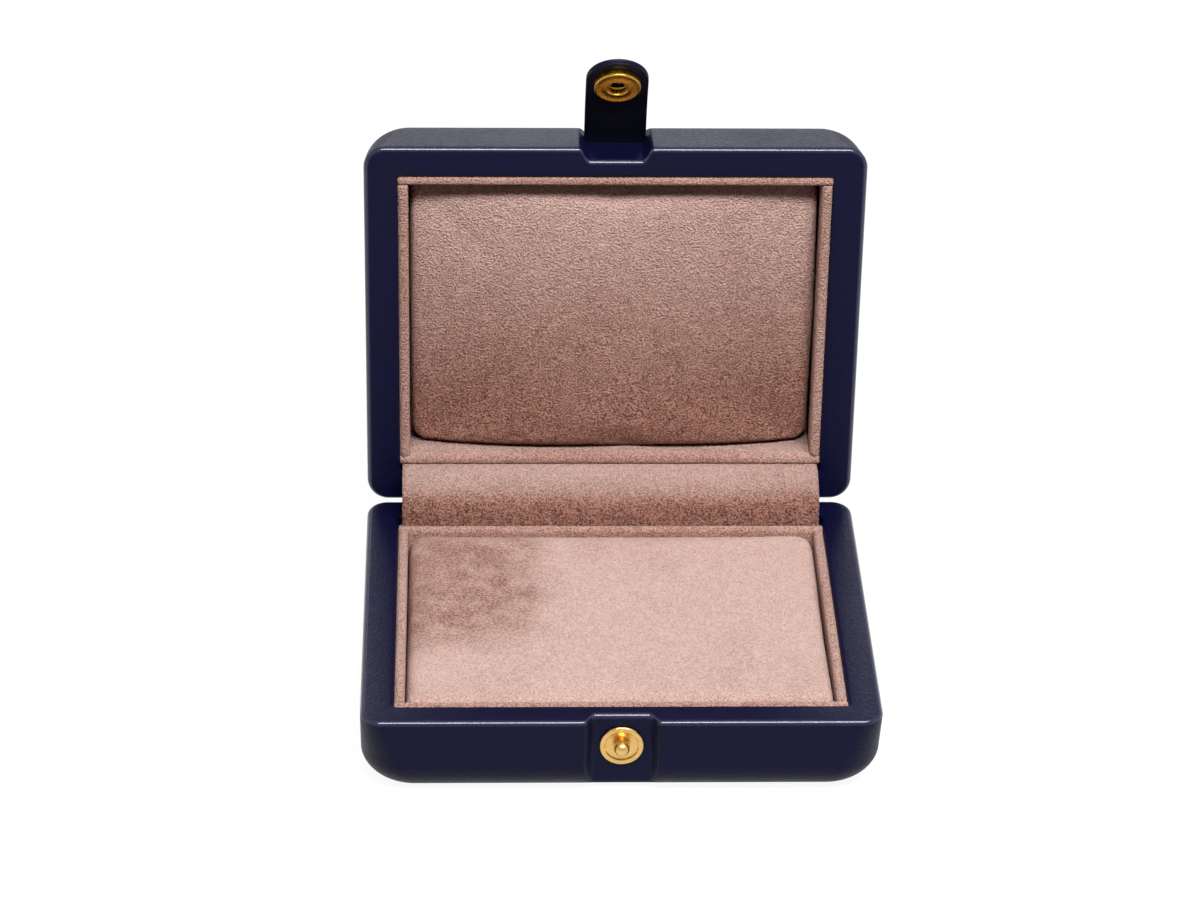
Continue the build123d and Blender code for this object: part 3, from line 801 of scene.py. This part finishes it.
def turned(name, profile, place, finish, body, node):
    """Profile of radius and height pairs carried round Z, then put in place."""
    steps = 96
    profile = np.array(profile, dtype=float)
    angle = np.linspace(0, 2 * np.pi, steps, endpoint=False)
    points = np.stack([
        profile[:, :1] * np.cos(angle), profile[:, :1] * np.sin(angle),
        np.broadcast_to(profile[:, 1:], (len(profile), steps)),
    ], axis=-1)
    piece = add_mesh(name, place(points), finish, cap_first=True, cap_last=True)
    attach(piece, body)
    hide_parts(node)


def round_path(centre, radius, start, end, count=9):
    """Points of an arc in a profile, from one angle to another in degrees."""
    angle = np.radians(np.linspace(start, end, count))
    return [
        (centre[0] + radius * np.cos(a), centre[1] + radius * np.sin(a)) for a in angle
    ]


def on_channel(points):
    """From a piece turned about Z to the stud's place, facing forwards."""
    x, y, z = points[..., 0], points[..., 1], points[..., 2]
    return to_base(np.stack([x, channel_floor - z, stud_depth - y], axis=-1))


stud_profile = [
    (0.02, -1.05), (3.3, -1.05), (3.7, -0.2), (4.6, 0.0),
    *round_path((4.72, 0.44), 0.44, -80, 95),
    (4.52, 0.86), (4.44, 0.79), (4.36, 0.86),
    *round_path((4.1, 0.66), 0.2, 85, 170, 5),
    (3.86, 0.46), (3.72, 0.34), (3.5, 0.28), (2.6, 0.2), (1.8, 0.12), (1.42, 0.08),
    (1.28, 0.1), (1.26, 0.18),
    *round_path((0, 1.5), 1.87, -44, 88, 24),
    (0.02, 3.37),
]
turned("stud", stud_profile, on_channel, pale_gilt, "base", "snap_stud")


# ---------------------------------------------------------------------------------------
# The tab. Two layers of navy leather with their edges rolled, glued over a stiffener. It
# leaves the lid through a slit, stands up and leans forward, with a half-round end.

tab_width = 14.8
tab_inner_face = -47.8
tab_tip = 5.4
tab_flat_top = 18.3
tab_bend_radius = 36.87
tab_bend = np.radians(21.646)
tab_core = 0.9
tab_middle = tab_bend_radius + tab_core
fold_y, fold_z = -46.0365, 32.2320
fold_angle = 59.5
tab_flat = tab_flat_top - tab_tip
tab_length = tab_flat + tab_middle * tab_bend
neck_length = 2.6
neck_blend = 1.4

smooth_navy = surface("smooth_navy_leather", IOR=1.45, Specular_IOR_Level=0.15)
tab_place = smooth_navy.place()
tab_grain = smooth_navy.noise(tab_place, 1500.0, 4.0, 0.6)
tab_cloud = smooth_navy.noise(tab_place, 120.0, 2.0)
# The tab is painted lighter at its top and darker down towards its root: painted light and painted
# shade, under random cloudy tone.
tab_painted_light = smooth_navy.between(smooth_navy.along(tab_place, "Z"), 0.118, 0.136) * 0.6
tab_cloud_and_painted_light = tab_painted_light + tab_cloud * 0.5
smooth_navy.set(Base_Color=smooth_navy.mix(tab_cloud_and_painted_light, linear(3, 3, 10), linear(10, 9, 28)))
smooth_navy.set(Roughness=smooth_navy.between(tab_grain, -0.8, 2.2))
smooth_navy.set(Normal=smooth_navy.bump(tab_grain, 0.00003))


def tab_swing(points):
    """From the shut tab to the open one: unfolded about its root, then swung with the lid."""
    return turn(turn(points, fold_y, fold_z, -fold_angle), hinge_y, hinge_z, -open_angle)


def along_tab(across, distance, depth):
    """Points from a place across the tab, a distance from its tip, and a depth in it.

    The tab is straight up to the top of the snap, then follows an arc to its root. Past
    the root it goes on straight, into the slit.
    """
    angle = np.clip((distance - tab_flat) / tab_middle, 0, tab_bend)
    radius = tab_bend_radius + depth
    beyond = np.clip(distance - tab_length, 0, None)
    y = tab_inner_face + tab_bend_radius - radius * np.cos(angle)
    z = tab_flat_top + radius * np.sin(angle) - np.clip(tab_flat - distance, 0, None)
    points = np.stack([across, y, z], axis=-1)
    points = tab_swing(points)
    return points + beyond[..., None] * np.array([0, 0, -1.0])


def on_tab(points):
    """From a piece turned about Z to the tab's inner face, looking at the stud."""
    x, y, z = points[..., 0], points[..., 1], points[..., 2]
    shut = np.stack([x, tab_inner_face + z, tab_tip + tab_width / 2 - y], axis=-1)
    return tab_swing(shut)


def punch(layer, radius):
    """Cut a round hole for the socket right through a layer, and keep the mesh that is left.

    The punch is a prism of 64 sides that stands past the layer's two faces.
    """
    steps = 64
    behind, in_front = -0.95, 0.5
    angle = np.linspace(0, 2 * np.pi, steps, endpoint=False)
    circle = np.c_[radius * np.cos(angle), radius * np.sin(angle), np.zeros(steps)]
    rows = on_tab(np.stack([circle + (0, 0, behind), circle + (0, 0, in_front)]))
    punched = add_mesh("punched", rows, smooth_navy.material, cap_first=True, cap_last=True)
    cut = layer.modifiers.new("cut", "BOOLEAN")
    cut.operation = "DIFFERENCE"
    cut.solver = "EXACT"
    cut.object = punched
    seen = layer.evaluated_get(bpy.context.evaluated_depsgraph_get())
    left = bpy.data.meshes.new_from_object(seen)
    layer.modifiers.clear()
    layer.data = left
    bpy.data.objects.remove(punched)


def tab_layer(name, near, far, edge, leather, node_names, hole=None):
    """One leather layer: a flat form with rounded edges, laid along the tab's curve.

    Each row is the tab's outline, drawn in to a point on the two faces and by half a sine
    wave round the edge, and the depth goes from near to far on half a cosine wave.
    """
    face_rows = 13
    half_width = tab_width / 2
    length = tab_length + neck_length
    middle = np.array([0, length / 2])

    def path(inset):
        return outline(half_width - inset, inset, length - inset, half_width - inset - 0.1, 0.6)

    shares = np.linspace(0.02, 1, face_rows + 1)[:-1]
    paths = [middle + (path(edge) - middle) * share for share in shares]
    depths = [near] * face_rows
    for angle in np.linspace(0, np.pi, 13):
        paths.append(path(edge * (1 - np.sin(angle))))
        depths.append((near + far) / 2 - (far - near) / 2 * np.cos(angle))
    shares = np.linspace(1, 0.02, face_rows + 1)[1:]
    paths += [middle + (path(edge) - middle) * share for share in shares]
    depths += [far] * face_rows
    flat = rings(paths, depths)
    points = along_tab(flat[..., 0], flat[..., 1], flat[..., 2])
    layer = add_mesh(name, points, leather, cap_first=True, cap_last=True)
    if hole is not None:
        punch(layer, hole)
    slit = along_tab(np.array(0.0), np.array(tab_length + neck_blend), tab_core) / 1000
    root = along_tab(np.array(0.0), np.array(tab_length), tab_core) / 1000
    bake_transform(layer)
    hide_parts(*node_names)


tab_layer(
    "tab_inner_leather", near=0.0, far=0.72, edge=0.34, leather=smooth_navy.material,
    node_names=["tab_lining"], hole=3.32,
)
tab_layer(
    "tab_outer_leather", near=0.7, far=1.8, edge=0.5, leather=navy.material,
    node_names=["tab_outer", "tab_fold"],
)


# ---------------------------------------------------------------------------------------
# The snap's socket and cap. The socket is a gilt cup with a rolled rim and a six-sided
# spring behind its hole. A low domed cap outside holds it through the leather.

socket_profile = [
    (0.02, -1.0), (3.3, -1.0), (3.35, 0.0), (5.35, 0.0), (5.5, 0.15),
    (5.5, 1.3), *round_path((5.15, 1.42), 0.35, 0, 90, 6),
    (4.9, 1.72), (4.6, 1.62), (3.6, 1.62), (3.2, 1.7),
    *round_path((2.75, 1.5), 0.28, 80, 180, 7),
    (2.47, 1.3), (3.0, 1.25), (3.0, -0.8), (0.02, -0.8),
]
turned("socket", socket_profile, on_tab, deep_gilt, "tab", "snap_socket")
cap_profile = [
    (0.02, -0.73), (1.6, -0.73), (1.6, -0.85), (1.0, -0.85), (1.0, -1.8),
    (5.7, -1.8), (5.9, -1.9), *[
        (5.9 * np.cos(a), -1.9 - 0.78 * np.sin(a)) for a in np.linspace(0.1, 1.5, 14)
    ],
    (0.02, -2.68),
]
turned("cap", cap_profile, on_tab, deep_gilt, "tab", "snap_cap")
give(deep_gilt, "socket_spring")


# ---------------------------------------------------------------------------------------
# The leather spine. A strip of the same navy leather, pasted across the back of both
# halves over the knuckles. It follows a quarter round, drawn as it lies with the lid
# open; on the case itself it bends as the lid turns.

spine_bend = 3.2
spine_thickness = 0.55
spine_half_width = 50.0
spine_offset = 0.6
spine_y = hinge_y + spine_offset
spine_z = hinge_z - spine_offset * (1 + np.sin(lean)) / np.cos(lean)
spine_sweep = np.radians(180 - open_angle)
spine_tail = spine_bend + 5.5 - spine_bend * np.tan(spine_sweep / 2)
spine_angle = np.linspace(0, spine_sweep, 14)
spine_arc = np.c_[spine_bend * (1 - np.cos(spine_angle)), spine_bend * np.sin(spine_angle)]
spine_end = spine_arc[-1] + spine_tail * np.array([np.sin(spine_sweep), np.cos(spine_sweep)])
spine_path = np.concatenate([[[0, -spine_tail]], spine_arc, [spine_end]])
spine_path = spine_path + np.array([spine_y, spine_z - spine_bend * np.tan(spine_sweep / 2)])
spine_turned = np.r_[0, spine_angle, spine_sweep]
spine_normals = np.c_[np.cos(spine_turned), -np.sin(spine_turned)]
spine_inner = spine_path - spine_thickness * spine_normals
spine_section = np.concatenate([spine_path, spine_inner[::-1]])
spine_points = carried(np.linspace(-spine_half_width, spine_half_width, 60), spine_section)
spine = add_mesh("spine", spine_points, navy.material, cap_first=True, cap_last=True)
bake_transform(spine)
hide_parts("hinge_spine")


# ---------------------------------------------------------------------------------------
# The table, the lights and the camera. A white table and surround, one broad soft light
# above and in front, one behind that shows in the leather's gloss, a weak one on each
# side, and a long lens from above the front.

def rays(shading):
    """Whether the camera sees this directly, and whether a glossy piece mirrors it."""
    kinds = ("Is Camera Ray", "Is Glossy Ray")
    return [shading.node("ShaderNodeLightPath", {}, {}, kind) for kind in kinds]


table_surface = surface("white_table", Base_Color=(0.12, 0.12, 0.12), Roughness=0.9)
table_surface.set(Specular_IOR_Level=0.0, Emission_Strength=1.0)
seen, mirrored = rays(table_surface)
table_glow = table_surface.mix(seen + mirrored, (0, 0, 0), (0.93, 0.93, 0.93))
table_surface.set(Emission_Color=table_glow)
table_half_width = 4000.0
table_points = np.array([
    [[-1, -1, 0], [1, -1, 0]], [[-1, 1, 0], [1, 1, 0]],
]) * table_half_width
table = add_mesh("table", table_points, table_surface.material, closed=False)

surround = Shading(bpy.data.worlds.new("surround"), "Background", Color=(1.0, 1.0, 1.0))
seen, mirrored = rays(surround)
surround.set(Strength=seen * 0.98 + mirrored * 0.6 + 0.02)
bpy.context.scene.world = surround.material


def soft_light(name, place, aim, width, height, power):
    """Flat lamp at a place, in millimetres, that looks at another. Its power is in watts."""
    lamp = bpy.data.lights.new(name, "AREA")
    lamp.shape = "RECTANGLE"
    lamp.size = width / 1000
    lamp.size_y = height / 1000
    lamp.energy = power
    holder = bpy.data.objects.new(name, lamp)
    start = Vector(place) / 1000
    direction = Vector(aim) / 1000 - start
    holder.location = start
    holder.rotation_euler = direction.to_track_quat("-Z", "Y").to_euler()
    bpy.context.scene.collection.objects.link(holder)


soft_light("key", (120, -500, 860), (0, 0, 40), width=800, height=150, power=13.6)
soft_light("left_fill", (-900, -200, 420), (0, 0, 40), width=500, height=500, power=0.3)
soft_light("right_fill", (900, -200, 420), (0, 0, 40), width=500, height=500, power=0.45)
soft_light("back_glow", (0, 1300, 800), (0, 0, 90), width=900, height=900, power=8.5)

camera_yaw, camera_pitch, camera_roll = 0.0406859, 0.543668, 0.0208058
forward = np.array([
    np.sin(camera_yaw) * np.cos(camera_pitch),
    np.cos(camera_yaw) * np.cos(camera_pitch),
    -np.sin(camera_pitch),
])
level_right = np.array([np.cos(camera_yaw), -np.sin(camera_yaw), 0])
level_up = np.cross(level_right, forward)
camera_right = level_right * np.cos(camera_roll) + level_up * np.sin(camera_roll)
camera_up = level_up * np.cos(camera_roll) - level_right * np.sin(camera_roll)
camera_place = np.array([-36.53, -785.70, 539.88]) / 1000
camera_matrix = np.eye(4)
camera_matrix[:3, :3] = np.c_[camera_right, camera_up, -forward]
camera_matrix[:3, 3] = camera_place
camera = bpy.data.objects.new("camera", bpy.data.cameras.new("camera"))
camera.matrix_world = Matrix(camera_matrix.tolist())
camera.data.lens = 118.517
camera.data.sensor_width = 36.0
bpy.context.scene.collection.objects.link(camera)
bpy.context.scene.camera = camera
bpy.context.scene.view_settings.view_transform = "Standard"
